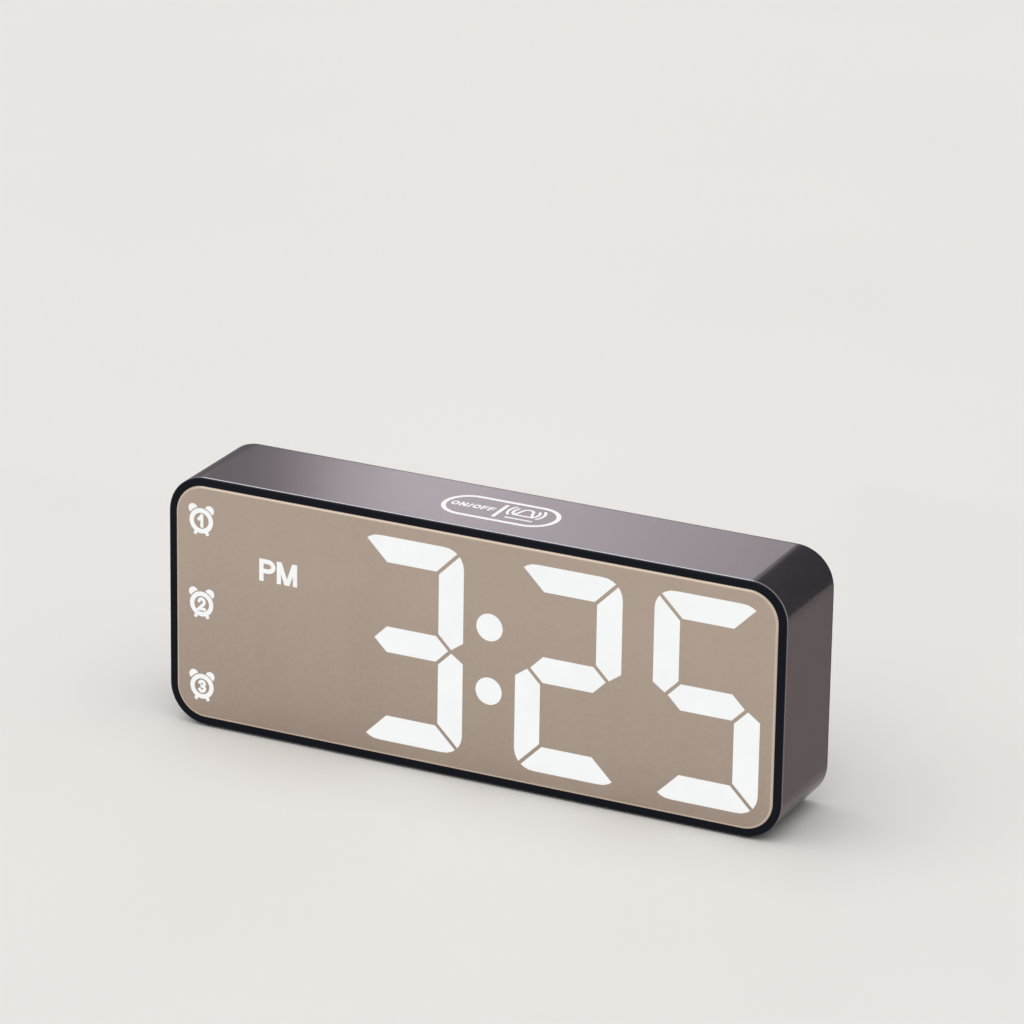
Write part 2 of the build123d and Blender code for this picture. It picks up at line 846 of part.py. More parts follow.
def make_key_board():
    """Board that carries the switches and the power inlet."""
    width = key_span + switch_width + 2 * key_board_margin
    low = inlet_z - inlet_height / 2 - key_board_margin
    high = key_row_z + switch_width / 2 + key_board_margin
    face = panel(key_x, (low + high) / 2, width, high - low)
    face -= [disc(x, z, key_screw_radius + screw_gap) for x, z in key_post_places]
    return slab(face, key_board_front, key_board_rear)


def make_key_board_screws():
    """Two screws through the key board into the cover's posts."""
    length = key_screw_length + board_thickness - screw_gap
    sizes = (length, key_screw_radius, key_head_radius, key_head_height)
    return Compound([screw(x, z, key_board_front, *sizes, -1) for x, z in key_post_places])


def inlet_outline(inset):
    """Rounded outline of the power inlet, drawn in by an inset."""
    face = SlotOverall(inlet_width - 2 * inset, inlet_height - 2 * inset)
    return Pos(inlet_x, inlet_z) * face


def make_usb_shell():
    """Pressed metal shell of the power inlet, open to the rear."""
    return slab(inlet_outline(0) - inlet_outline(inlet_wall), key_board_rear, inlet_mouth)


def make_usb_tongue():
    """Insulator at the foot of the inlet, with its contact tongue."""
    base = slab(inlet_outline(inlet_wall + tongue_gap), key_board_rear, key_board_rear + tongue_base)
    tongue = panel(inlet_x, inlet_z, tongue_width, tongue_thickness)
    return base + slab(tongue, key_board_rear + tongue_base, inlet_mouth - tongue_mouth_gap)


def make_buzzer():
    """Round buzzer with a sound hole behind the cover's slots."""
    body = slab(disc(buzzer_x, buzzer_z, buzzer_radius), buzzer_front, buzzer_rear)
    mouth = disc(buzzer_x, buzzer_z, buzzer_mouth_radius)
    return body - slab(mouth, buzzer_rear - buzzer_mouth_depth, buzzer_rear)


def header_places():
    """Middle of the header on each board, in X, with the faces that it stands between."""
    near = (key_x + header_near_shift, board_rear, board_rear + header_height)
    far = (key_x + header_far_shift, key_board_front - header_height, key_board_front)
    return near, far


def make_ribbon_headers():
    """A header on the back of the display board and one on the front of the key board."""
    solids = []
    for x, y_from, y_to in header_places():
        solids.append(slab(panel(x, between_rows_z, header_width, header_length), y_from, y_to))
    return Compound(solids)


def make_ribbon_cable():
    """Flat ribbon from the side of one header to the side of the other, with a step between them."""
    near, far = header_places()
    start = near[0] - header_width / 2
    end = far[0] + header_width / 2
    middle = (start + end) / 2
    near_y = (near[1] + near[2]) / 2
    far_y = (far[1] + far[2]) / 2
    points = [(start, near_y), (middle, near_y), (middle, far_y), (end, far_y)]
    bend = min(ribbon_bend_radius, ribbon_bend_share * (far_y - near_y))
    strip = trace(FilletPolyline(*points, radius=bend), ribbon_thickness)
    return extrude(Plane.XY.offset(between_rows_z - ribbon_width / 2) * strip, amount=ribbon_width)


nodes = {
    "front_bezel": make_front_bezel(),
    "mirror_lens": make_mirror_lens(),
    "lens_tape": make_lens_tape(),
    "segment_mask": make_segment_mask(),
    "diffuser_sheet": make_diffuser_sheet(),
    "light_box": make_light_box(),
    "led_chips": make_led_chips(),
    "display_board": make_display_board(),
    "board_screws": make_board_screws(),
    "controller_chip": make_controller_chip(),
    "driver_chips": make_driver_chips(),
    "housing": make_housing(),
    "feet": make_feet(),
    "touch_plate": make_touch_plate(),
    "touch_lead": make_touch_lead(),
    "rear_cover": make_rear_cover(),
    "case_screws": make_case_screws(),
    "battery_door": make_battery_door(),
    "battery_contact_minus": make_battery_contact_minus(),
    "battery_contact_bridges": make_battery_contact_bridges(),
    "battery_contact_plus": make_battery_contact_plus(),
    "battery_leads": make_battery_leads(),
    "key_board": make_key_board(),
    "key_board_screws": make_key_board_screws(),
    "switch_bodies": make_switch_bodies(),
    "usb_shell": make_usb_shell(),
    "usb_tongue": make_usb_tongue(),
    "buzzer": make_buzzer(),
    "ribbon_headers": make_ribbon_headers(),
    "ribbon_cable": make_ribbon_cable(),
}
for key_name, place in zip(key_names, key_places):
    nodes[f"{key_name}_button"] = make_key(place)
    nodes[f"{key_name}_plunger"] = make_plunger(place)

os.makedirs("parts", exist_ok=True)
for node_name, shape in nodes.items():
    export_step(shape, f"parts/{node_name}.step")
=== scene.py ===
"""Dresses the desk clock's solids, adds its lit display and its prints, and sets it in a plain studio.

Sizes are millimetres in the clock's own frame: +X to the right seen from the front, the lens towards -Y
and +Z up from the table. Meshes go into the scene in metres.
"""

import json
import logging
import math
from abc import ABC, abstractmethod
from dataclasses import dataclass
from enum import Enum

import bmesh
import bpy
import numpy as np
from mathutils import Matrix, Vector


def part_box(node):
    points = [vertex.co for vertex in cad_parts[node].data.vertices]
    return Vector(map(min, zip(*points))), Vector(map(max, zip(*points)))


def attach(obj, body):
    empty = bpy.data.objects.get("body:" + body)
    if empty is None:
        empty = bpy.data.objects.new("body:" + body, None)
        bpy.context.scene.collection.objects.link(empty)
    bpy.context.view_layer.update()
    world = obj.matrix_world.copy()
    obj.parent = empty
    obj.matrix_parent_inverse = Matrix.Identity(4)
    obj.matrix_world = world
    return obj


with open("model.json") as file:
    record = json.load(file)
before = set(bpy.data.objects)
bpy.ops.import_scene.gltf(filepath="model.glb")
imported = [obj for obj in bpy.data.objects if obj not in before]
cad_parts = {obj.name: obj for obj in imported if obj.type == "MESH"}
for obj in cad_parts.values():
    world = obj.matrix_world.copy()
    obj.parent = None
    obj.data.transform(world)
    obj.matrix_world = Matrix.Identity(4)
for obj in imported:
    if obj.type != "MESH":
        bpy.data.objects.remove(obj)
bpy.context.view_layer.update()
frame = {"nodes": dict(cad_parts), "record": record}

log = logging.getLogger("desk_clock")
MM = 0.001
CASE_BODY = "case"
Colour = tuple[float, float, float]
Spot = tuple[float, float]
NOISE_MIDDLE: Spot = (0.3, 0.7)
RISE_LEVELS: Spot = (0.15, 0.85)


def shade(colour: Colour, share: float) -> tuple[float, float, float, float]:
    """A colour times a share, with full opacity."""
    return (colour[0] * share, colour[1] * share, colour[2] * share, 1.0)


class NodeBench:
    """A new material's node tree, with short calls for its nodes."""

    def __init__(self, name: str) -> None:
        """Starts a material with a principled shader."""
        self.material = bpy.data.materials.new(name)
        self.material.use_nodes = True
        self.tree = self.material.node_tree
        self.shader = self.tree.nodes["Principled BSDF"]
        self.place = self.add("ShaderNodeTexCoord").outputs["Object"]

    def add(self, kind: str, **values: object) -> bpy.types.Node:
        """Adds a node.

        Args:
            kind: The node's type.
            values: Values of its input sockets, with underscores for the spaces in their names.

        Returns:
            The new node.
        """
        node = self.tree.nodes.new(kind)
        for name, value in values.items():
            node.inputs[name.replace("_", " ")].default_value = value
        return node

    def join(self, source: bpy.types.NodeSocket, target: bpy.types.NodeSocket) -> None:
        """Links one socket to another."""
        self.tree.links.new(source, target)

    def set(self, **values: object) -> None:
        """Sets values on the shader's own sockets, with underscores for the spaces in their names."""
        for name, value in values.items():
            self.shader.inputs[name.replace("_", " ")].default_value = value

    def noise(self, size: float, detail: float, stretch: Colour = (1, 1, 1)) -> bpy.types.NodeSocket:
        """A noise pattern in the clock's own frame.

        Args:
            size: Size of one cloud or grain in millimetres.
            detail: Octaves of finer noise.
            stretch: How much longer the pattern is along each axis.

        Returns:
            The socket of the pattern's level, from 0 to 1.
        """
        mapping = self.add("ShaderNodeMapping")
        mapping.inputs["Scale"].default_value = [1 / s for s in stretch]
        pattern = self.add("ShaderNodeTexNoise", Scale=1 / (size * MM), Detail=detail)
        self.join(self.place, mapping.inputs["Vector"])
        self.join(mapping.outputs["Vector"], pattern.inputs["Vector"])
        return pattern.outputs["Fac"]

    def mean(self, first: bpy.types.NodeSocket, second: bpy.types.NodeSocket) -> bpy.types.NodeSocket:
        """The level halfway between two noise levels."""
        node = self.add("ShaderNodeMix")
        node.data_type = "FLOAT"
        self.join(first, node.inputs["A"])
        self.join(second, node.inputs["B"])
        return node.outputs["Result"]

    def rise(self, low: float, high: float) -> bpy.types.NodeSocket:
        """A level that climbs between two heights in millimetres."""
        split = self.add("ShaderNodeSeparateXYZ")
        span = self.add("ShaderNodeMapRange", From_Min=low * MM, From_Max=high * MM)
        span.inputs["To Min"].default_value, span.inputs["To Max"].default_value = RISE_LEVELS
        self.join(self.place, split.inputs["Vector"])
        self.join(split.outputs["Z"], span.inputs["Value"])
        return span.outputs["Result"]

    def spread(self, level: bpy.types.NodeSocket, low: float, high: float) -> bpy.types.NodeSocket:
        """Spreads a noise level's middle part between two values."""
        node = self.add("ShaderNodeMapRange", To_Min=low, To_Max=high)
        node.inputs["From Min"].default_value, node.inputs["From Max"].default_value = NOISE_MIDDLE
        self.join(level, node.inputs["Value"])
        return node.outputs["Result"]

    def blend(self, level: bpy.types.NodeSocket, dark: Colour, light: Colour) -> bpy.types.NodeSocket:
        """Runs from a darker to a lighter colour over a noise level's middle part."""
        ramp = self.add("ShaderNodeValToRGB")
        ramp.color_ramp.elements[0].position, ramp.color_ramp.elements[1].position = NOISE_MIDDLE
        ramp.color_ramp.elements[0].color = shade(dark, 1)
        ramp.color_ramp.elements[1].color = shade(light, 1)
        self.join(level, ramp.inputs["Fac"])
        return ramp.outputs["Color"]

    def raise_grain(self, level: bpy.types.NodeSocket, relief: float) -> None:
        """Bumps the surface by a noise level, up to a relief in millimetres."""
        bump = self.add("ShaderNodeBump", Strength=1.0, Distance=relief * MM)
        self.join(level, bump.inputs["Height"])
        self.join(bump.outputs["Normal"], self.shader.inputs["Normal"])


@dataclass(frozen=True)
class Finish(ABC):
    """What a surface of the clock is made of."""

    name: str
    colour: Colour

    @abstractmethod
    def dress(self, bench: NodeBench) -> None:
        """Sets up the shader on a bench."""

    def material(self) -> bpy.types.Material:
        """The finish's material, made once."""
        full_name = f"{self.name}_finish"
        made = bpy.data.materials.get(full_name)
        if made is None:
            bench = NodeBench(full_name)
            self.dress(bench)
            made = bench.material
        return made


@dataclass(frozen=True)
class MouldedPlastic(Finish):
    """Moulded plastic with a fine eroded grain, faint clouds in its colour and an uneven sheen."""

    roughness: float
    specular: float = 0.5
    grain: float = 0.35
    relief: float = 0.012
    cloud: float = 0.06
    cloud_size: float = 18.0
    sheen_tint: Colour = (1.0, 1.0, 1.0)

    def dress(self, bench: NodeBench) -> None:
        """Clouds and the grain tint the base, and the grain sets both the bumps and the sheen."""
        clouds = bench.noise(self.cloud_size, 3.0)
        grain = bench.noise(self.grain, 2.0)
        light = tuple(c * (1 + self.cloud) for c in self.colour)
        dark = tuple(c * (1 - self.cloud) for c in self.colour)
        bench.join(bench.blend(bench.mean(clouds, grain), dark, light), bench.shader.inputs["Base Color"])
        sheen = bench.spread(grain, self.roughness * 0.88, self.roughness * 1.12)
        bench.join(sheen, bench.shader.inputs["Roughness"])
        bench.raise_grain(grain, self.relief)
        bench.set(Specular_IOR_Level=self.specular, Specular_Tint=shade(self.sheen_tint, 1))


@dataclass(frozen=True)
class MirrorGlass(Finish):
    """Tinted mirror plate with faint streaks and flecks in its coating, and painted shade that darkens it
    toward the foot.
    """

    roughness: float
    # Share of the tint left at the foot, and the heights over which that darkening fades: painted shade.
    dense: float = 0.845
    heights: Spot = (5.0, 46.0)
    fleck: float = 0.9

    def dress(self, bench: NodeBench) -> None:
        """A metallic tint that wavers a little across the plate, with painted shade that darkens it toward
        its foot.
        """
        streaks = bench.noise(9.0, 3.0, (1.0, 1.0, 7.0))
        dark = tuple(c * self.dense for c in self.colour)
        flecks = bench.noise(self.fleck, 1.0)
        # The climb with height darkens the tint toward the foot: painted shade.
        level = bench.mean(bench.mean(streaks, flecks), bench.rise(*self.heights))
        bench.join(bench.blend(level, dark, self.colour), bench.shader.inputs["Base Color"])
        sheen = bench.spread(flecks, self.roughness * 0.85, self.roughness * 1.15)
        bench.join(sheen, bench.shader.inputs["Roughness"])
        bench.set(Metallic=1.0)


@dataclass(frozen=True)
class BareMetal(Finish):
    """Plated or turned metal with fine drawn lines."""

    roughness: float
    lines: tuple[float, float, float] = (1.0, 8.0, 1.0)

    def dress(self, bench: NodeBench) -> None:
        """Drawn lines waver the tint and the sheen."""
        drawn = bench.noise(0.25, 2.0, self.lines)
        light = tuple(min(c * 1.08, 1.0) for c in self.colour)
        dark = tuple(c * 0.88 for c in self.colour)
        bench.join(bench.blend(drawn, dark, light), bench.shader.inputs["Base Color"])
        sheen = bench.spread(drawn, self.roughness * 0.8, self.roughness * 1.2)
        bench.join(sheen, bench.shader.inputs["Roughness"])
        bench.set(Metallic=1.0)


@dataclass(frozen=True)
class CircuitBoard(Finish):
    """Board with solder resist over darker and lighter copper tracks."""

    roughness: float = 0.35

    def dress(self, bench: NodeBench) -> None:
        """Tracks are the edges of square cells, a little raised."""
        cells = bench.add("ShaderNodeTexVoronoi", Scale=1 / (2.6 * MM))
        cells.distance = "CHEBYCHEV"
        bench.join(bench.place, cells.inputs["Vector"])
        light = tuple(c * 1.7 for c in self.colour)
        level = cells.outputs["Distance"]
        bench.join(bench.blend(level, self.colour, light), bench.shader.inputs["Base Color"])
        bench.raise_grain(level, 0.02)
        bench.set(Roughness=self.roughness)


@dataclass(frozen=True)
class DisplayLight(Finish):
    """Lit display window, with the slightly uneven glow of lamps behind a milky film."""

    strength: float = 1.0

    def dress(self, bench: NodeBench) -> None:
        """The glow wavers a little over a window."""
        glow = bench.noise(6.0, 1.0)
        dark = tuple(c * 0.97 for c in self.colour)
        bench.join(bench.blend(glow, dark, self.colour), bench.shader.inputs["Emission Color"])
        bench.set(Base_Color=(0.02, 0.02, 0.02, 1.0), Roughness=0.4, Emission_Strength=self.strength)


@dataclass(frozen=True)
class LitEdge(Finish):
    """Polished, tinted edge of a clear plate, partly mirrored, with a painted highlight: it glows though no
    lamp lights it.
    """

    roughness: float
    # Strength of the edge's glow, a painted highlight.
    glow: float

    def dress(self, bench: NodeBench) -> None:
        """Faint clouds along the edge waver its tint, its painted glow and its sheen."""
        clouds = bench.noise(4.0, 2.0)
        dark = tuple(c * 0.94 for c in self.colour)
        bench.join(bench.blend(clouds, dark, self.colour), bench.shader.inputs["Base Color"])
        bench.join(bench.blend(clouds, dark, self.colour), bench.shader.inputs["Emission Color"])
        sheen = bench.spread(clouds, self.roughness * 0.9, self.roughness * 1.1)
        bench.join(sheen, bench.shader.inputs["Roughness"])
        # The emission is a painted highlight along the bevel.
        bench.set(Metallic=0.25, Emission_Strength=self.glow)


SLEEVE_GREY = MouldedPlastic(
    "sleeve_grey", (0.036, 0.0292, 0.0325), 0.18, 0.31, 0.34, 0.018, 0.24, 14.0, (1.0, 0.82, 0.9)
)
RIM_BLACK = MouldedPlastic("rim_black", (0.0038, 0.0055, 0.011), 0.34, 0.1, 0.3, 0.003)
# The lens's tint darkens toward its foot: painted shade.
LENS_MIRROR = MirrorGlass("lens_mirror", (0.518, 0.427, 0.362), 0.1)
# The bevel's glow is a painted highlight.
BEVEL_GOLD = LitEdge("bevel_gold", (0.36, 0.29, 0.23), 0.36, 0.8)
EDGE_POLISH = BareMetal("edge_polish", (0.25, 0.24, 0.255), 0.2, (3.0, 1.0, 3.0))
COVER_BLACK = MouldedPlastic("cover_black", (0.015, 0.0145, 0.017), 0.4, 0.32, 0.4, 0.02, 0.15)
KEY_BLACK = MouldedPlastic("key_black", (0.014, 0.014, 0.016), 0.36, 0.4, 0.25, 0.006)
FOOT_RUBBER = MouldedPlastic("foot_rubber", (0.03, 0.03, 0.03), 0.8, 0.3, 0.5, 0.03, 0.12, 3.0)
TAPE_BLACK = MouldedPlastic("tape_black", (0.03, 0.03, 0.03), 0.7, 0.3, 0.4, 0.02)
MASK_BLACK = MouldedPlastic("mask_black", (0.01, 0.01, 0.01), 0.6, 0.3)
DIFFUSER_WHITE = MouldedPlastic("diffuser_white", (0.82, 0.82, 0.80), 0.4, 0.4, 0.2, 0.004, 0.02)
BOX_WHITE = MouldedPlastic("box_white", (0.78, 0.78, 0.76), 0.55, 0.4, 0.4, 0.01, 0.03)
LAMP_YELLOW = MouldedPlastic("lamp_yellow", (0.8, 0.7, 0.28), 0.25, 0.5, 0.3, 0.004, 0.05, 1.0)
BOARD_GREEN = CircuitBoard("board_green", (0.02, 0.12, 0.05))
CHIP_BLACK = MouldedPlastic("chip_black", (0.018, 0.018, 0.019), 0.5, 0.4, 0.2, 0.01)
PLUNGER_BLACK = MouldedPlastic("plunger_black", (0.014, 0.014, 0.014), 0.4)
SCREW_STEEL = BareMetal("screw_steel", (0.46, 0.46, 0.48), 0.3)
CONTACT_NICKEL = BareMetal("contact_nickel", (0.66, 0.64, 0.6), 0.22, (1.0, 1.0, 9.0))
INLET_STEEL = BareMetal("inlet_steel", (0.56, 0.56, 0.57), 0.28)
COPPER_FOIL = BareMetal("copper_foil", (0.7, 0.36, 0.2), 0.3, (9.0, 1.0, 1.0))
WIRE_RED = MouldedPlastic("wire_red", (0.4, 0.02, 0.02), 0.45)
WIRE_WHITE = MouldedPlastic("wire_white", (0.68, 0.68, 0.66), 0.45)
RIBBON_GREY = MouldedPlastic("ribbon_grey", (0.42, 0.42, 0.43), 0.5)
HEADER_WHITE = MouldedPlastic("header_white", (0.76, 0.74, 0.66), 0.45)
DISPLAY_WHITE = DisplayLight("display_white", (0.88, 0.895, 0.89))
PRINT_WHITE = MouldedPlastic("print_white", (0.90, 0.89, 0.90), 0.5, 0.4, 0.2, 0.003, 0.03, 3.0)

SLOT_FINISHES: dict[str, Finish] = {
    "case_grey": SLEEVE_GREY,
    "rim_black": RIM_BLACK,
    "lens_mirror": LENS_MIRROR,
    "cover_black": COVER_BLACK,
    "key_black": KEY_BLACK,
    "foot_rubber": FOOT_RUBBER,
    "tape_black": TAPE_BLACK,
    "mask_black": MASK_BLACK,
    "diffuser_white": DIFFUSER_WHITE,
    "box_white": BOX_WHITE,
    "lamp_yellow": LAMP_YELLOW,
    "board_green": BOARD_GREEN,
    "chip_black": CHIP_BLACK,
    "plunger_black": PLUNGER_BLACK,
    "screw_steel": SCREW_STEEL,
    "contact_nickel": CONTACT_NICKEL,
    "inlet_steel": INLET_STEEL,
    "copper_foil": COPPER_FOIL,
    "wire_red": WIRE_RED,
    "wire_white": WIRE_WHITE,
    "ribbon_grey": RIBBON_GREY,
    "header_white": HEADER_WHITE,
}


class Side(Enum):
    """The faces of the clock that carry signs, each with the solid that it belongs to."""

    FRONT = "mirror_lens"
    TOP = "housing"

    def place(self, points: np.ndarray) -> np.ndarray:
        """Lays flat points with a lift onto this face.

        Args:
            points: Rows of across, along and lift. Along runs up on the front and back on the top.

        Returns:
            Rows of x, y and z.
        """
        low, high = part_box(self.value)
        across, along, lift = points.T
        if self is Side.FRONT:
            return np.column_stack([across, low.y / MM - lift, along])
        return np.column_stack([across, along, high.z / MM + lift])


Radius = float | tuple[float, float]


def arc(middle: Spot, radius: Radius, start: float, end: float, count: int = 24) -> np.ndarray:
    """Points on a circle or an ellipse between two angles in degrees.

    Each point is the middle plus the radius times the angle's cosine and sine.

    Args:
        middle: Its middle.
        radius: Its radius, or its radii across and up.
        start: First angle.
        end: Last angle.
        count: How many points.

    Returns:
        Flat points in order.
    """
    angles = np.radians(np.linspace(start, end, count))
    return np.asarray(middle) + np.asarray(radius) * np.column_stack([np.cos(angles), np.sin(angles)])


def along_edges(corners: np.ndarray, count: int = 16) -> np.ndarray:
    """Points along a closed outline's edges: each corner moves straight to the next in even steps."""
    steps = np.linspace(0, 1, count, endpoint=False)[None, :, None]
    points = corners[:, None, :] * (1 - steps) + np.roll(corners, -1, axis=0)[:, None, :] * steps
    return points.reshape(-1, 2)


def within_corners(points: np.ndarray, half: np.ndarray, radius: float) -> np.ndarray:
    """Pulls points into a rounded rectangle: none lies further than the radius from the rectangle's core.

    Args:
        points: Flat points about the rectangle's middle.
        half: Half of its width and height.
        radius: Radius of its corners.

    Returns:
        The points, moved straight towards the core where they were outside.
    """
    core = np.clip(points, radius - half, half - radius)
    reach = points - core
    length = np.maximum(np.linalg.norm(reach, axis=1, keepdims=True), 1e-9)
    return core + reach * np.minimum(1, radius / length)


def runs(*ends: tuple[float, float, float, float]) -> tuple[np.ndarray, ...]:
    """Straight lines, each from its first place across and up to its last."""
    return tuple(np.array(end).reshape(2, 2) for end in ends)


@dataclass(frozen=True)
class Glyph:
    """A letter or numeral: its width over its height, and its strokes' middle lines in a unit square."""

    width: float
    lines: tuple[np.ndarray, ...]


GLYPHS: dict[str, Glyph] = {
    "P": Glyph(0.77, (np.vstack([[(0, 0), (0, 1)], arc((0.55, 0.73), (0.45, 0.27), 90, -90), [(0, 0.46)]]),)),
    "M": Glyph(0.97, runs((0, 0, 0, 1), (0.08, 1, 0.435, 0), (0.565, 0, 0.92, 1), (1, 1, 1, 0))),
    "O": Glyph(0.8, (arc((0.5, 0.5), (0.5, 0.5), 0, 360, 37),)),
    "N": Glyph(0.76, runs((0, 0, 0, 1), (0.15, 1, 0.85, 0), (1, 0, 1, 1))),
    "F": Glyph(0.64, runs((0, 0, 0, 1), (0, 1, 1, 1), (0, 0.5, 0.85, 0.5))),
    "/": Glyph(0.42, runs((0, 0, 1, 1))),
    "1": Glyph(0.6, runs((0, 0.66, 0.48, 0.92), (0.62, 1, 0.62, 0))),
    "2": Glyph(0.66, (np.vstack([arc((0.5, 0.7), (0.5, 0.3), 165, -35), [(0, 0), (1, 0)]]),)),
    "3": Glyph(0.66, (arc((0.5, 0.76), (0.46, 0.24), 155, -90), arc((0.5, 0.26), (0.5, 0.26), 90, -155))),
}


class Piece:
    """A new piece of the clock, gathered from shapes in millimetres."""

    def __init__(self, name: str) -> None:
        """Starts an empty piece."""
        self.name = name
        self.points: list[np.ndarray] = []
        self.faces: list[list[int]] = []

    def gather(self, points: np.ndarray, faces: list[list[int]]) -> None:
        """Adds points and the faces between them, counted on from the points so far."""
        start = sum(len(p) for p in self.points)
        self.points.append(points)
        self.faces += [[start + index for index in face] for face in faces]

    def place(self, points: np.ndarray) -> np.ndarray:
        """Points in the clock's own frame."""
        return points

    def build(self, finish: Finish) -> bpy.types.Object:
        """Makes the piece, in its place on the clock, and lets it ride on the case.

        Args:
            finish: What the piece is made of.

        Returns:
            The new piece.
        """
        points = self.place(np.vstack(self.points)) * MM
        mesh = bpy.data.meshes.new(self.name)
        mesh.from_pydata(points.tolist(), [], self.faces)
        surface = bmesh.new()
        surface.from_mesh(mesh)
        bmesh.ops.remove_doubles(surface, verts=surface.verts, dist=0.001 * MM)
        bmesh.ops.recalc_face_normals(surface, faces=surface.faces)
        surface.to_mesh(mesh)
        surface.free()
        mesh.materials.append(finish.material())
        piece = bpy.data.objects.new(self.name, mesh)
        bpy.context.scene.collection.objects.link(piece)
        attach(piece, CASE_BODY)
        log.info("%s: %d faces", self.name, len(mesh.polygons))
        return piece


class Relief(Piece):
    """Thin raised shapes on one face of the clock, gathered into one piece.

    Each shape is a hair higher than the last, so that two that cross never share a face.
    """

    HAIR = 0.0008

    def __init__(self, name: str, side: Side, height: float) -> None:
        """Starts an empty piece of a given height on a face."""
        super().__init__(name)
        self.side = side
        self.height = height

    def gather(self, points: np.ndarray, faces: list[list[int]]) -> None:
        """Adds a shape and makes the next one a hair higher."""
        super().gather(points, faces)
        self.height += self.HAIR

    def place(self, points: np.ndarray) -> np.ndarray:
        """Points laid onto the piece's face."""
        return self.side.place(points)

    def fill(self, outline: np.ndarray) -> None:
        """Adds a plate with a given outline.

        Two parameters span it: the way round the outline, and the way from the middle of the back, over the
        rim, to the middle of the front. The middles are single points, so that the plate is closed.

        Args:
            outline: Flat points round a shape that its middle sees all of.
        """
        count = len(outline)
        middle = outline.mean(axis=0)
        back = np.column_stack([np.vstack([middle, outline]), np.zeros(count + 1)])
        front = np.column_stack([np.vstack([outline, middle]), np.full(count + 1, self.height)])
        here = np.arange(count)
        after = np.roll(here, -1)
        low, low_after = 1 + here, 1 + after
        high, high_after = 1 + count + here, 1 + count + after
        tip = np.full(count, 2 * count + 1)
        faces = np.column_stack([low, low_after, high_after, high]).tolist()
        faces += np.column_stack([low_after, low, np.zeros(count, int)]).tolist()
        faces += np.column_stack([high, high_after, tip]).tolist()
        self.gather(np.vstack([back, front]), faces)

    def stroke(self, path: np.ndarray, width: float, limits: tuple[float, float] | None = None) -> None:
        """Adds a band along a path, which is closed where the path ends at its first point.

        A rectangle is carried along the path. At each point its sides lie along the mitre of the two runs
        that meet there: the sum of their normals over one plus the normals' product, times half of the width.
        What stands out over a limit slides back to it along its run.

        Args:
            path: Flat points along the band's middle.
            width: The band's width.
            limits: The lowest and highest place that the band may reach.
        """
        closed = np.allclose(path[0], path[-1])
        path = path[:-1] if closed else path
        runs = np.roll(path, -1, axis=0) - path
        runs = runs / np.linalg.norm(runs, axis=1, keepdims=True)
        before = np.roll(runs, 1, axis=0)
        if not closed:
            before[0] = runs[0]
            runs[-1] = runs[-2]
        left = np.column_stack([-runs[:, 1], runs[:, 0]])
        left_before = np.column_stack([-before[:, 1], before[:, 0]])
        product = np.sum(left * left_before, axis=1, keepdims=True)
        offset = width / 2 * (left + left_before) / np.maximum(1 + product, 0.2)
        count = len(path)
        corners = np.stack([path - offset, path - offset, path + offset, path + offset], axis=1)
        if limits is not None:
            back = np.clip(corners[:, :, 1], *limits) - corners[:, :, 1]
            lean = runs[:, 0] * runs[:, 1] / np.maximum(runs[:, 1] ** 2, 0.2)
            corners += np.stack([back * lean[:, None], back], axis=2)
        lifts = np.broadcast_to([0, self.height, self.height, 0], (count, 4))[:, :, None]
        points = np.concatenate([corners, lifts], axis=2).reshape(-1, 3)
        ring = np.arange(count if closed else count - 1)[:, None]
        corner = np.arange(4)[None, :]
        ahead = (ring + 1) % count
        turn = (corner + 1) % 4
        quads = [ring * 4 + corner, ahead * 4 + corner, ahead * 4 + turn, ring * 4 + turn]
        faces = np.stack(quads, axis=2).reshape(-1, 4).tolist()
        if not closed:
            last = 4 * (count - 1)
            faces += [[0, 1, 2, 3], [last + 3, last + 2, last + 1, last]]
        self.gather(points, faces)

    def write(self, words: str, middle: Spot, height: float, weight: float, gap: float) -> None:
        """Adds plain capital letters or numerals, each stroke with square ends.

        A stroke that ends at the letters' foot or head is cut level there: it runs on by half of its weight,
        times one plus its lean over its rise, and is then cut at the limit.

        Args:
            words: What they say.
            middle: Their middle on the face.
            height: Their height.
            weight: The width of their strokes.
            gap: The gap between two letters.
        """
        widths = [GLYPHS[letter].width * height for letter in words]
        left = middle[0] - (sum(widths) + gap * (len(words) - 1)) / 2
        foot = middle[1] - height / 2
        for letter, width in zip(words, widths):
            for line in GLYPHS[letter].lines:
                path = line * (width - weight, height - weight) + (left + weight / 2, foot + weight / 2)
                if not np.allclose(path[0], path[-1]):
                    ends = np.array([path[0] - path[1], path[-1] - path[-2]])
                    ends = ends / np.linalg.norm(ends, axis=1, keepdims=True)
                    level = np.isin(line[[0, -1], 1], (0, 1)) & (np.abs(ends[:, 1]) > 0.5)
                    lean, rise = np.abs(ends).T
                    longer = np.where(level, (1 + lean) / np.maximum(rise, 0.5), 1)
                    path[[0, -1]] += ends * longer[:, None] * weight / 2
                self.stroke(path, weight, (foot, foot + height))
            left += width + gap


class ClockSolids:
    """The solids of the clock, dressed by the slots of their record."""

    def dress(self) -> None:
        """Gives each solid the finish of its slot."""
        for row in frame["record"]["subparts"]:
            finish = SLOT_FINISHES[row["material_slot"]]
            mesh = frame["nodes"][row["node"]].data
            mesh.materials.clear()
            mesh.materials.append(finish.material())
            log.info("%s: %s", row["node"], finish.name)


class Segment(Enum):
    """The seven bars of a digit, each with the way that it is turned: across or upright, side and height."""

    TOP = ("across", 1, 1)
    BOTTOM = ("across", 1, -1)
    MIDDLE = ("waist", 1, 1)
    UPPER_LEFT = ("upright", 1, 1)
    UPPER_RIGHT = ("upright", -1, 1)
    LOWER_LEFT = ("upright", 1, -1)
    LOWER_RIGHT = ("upright", -1, -1)


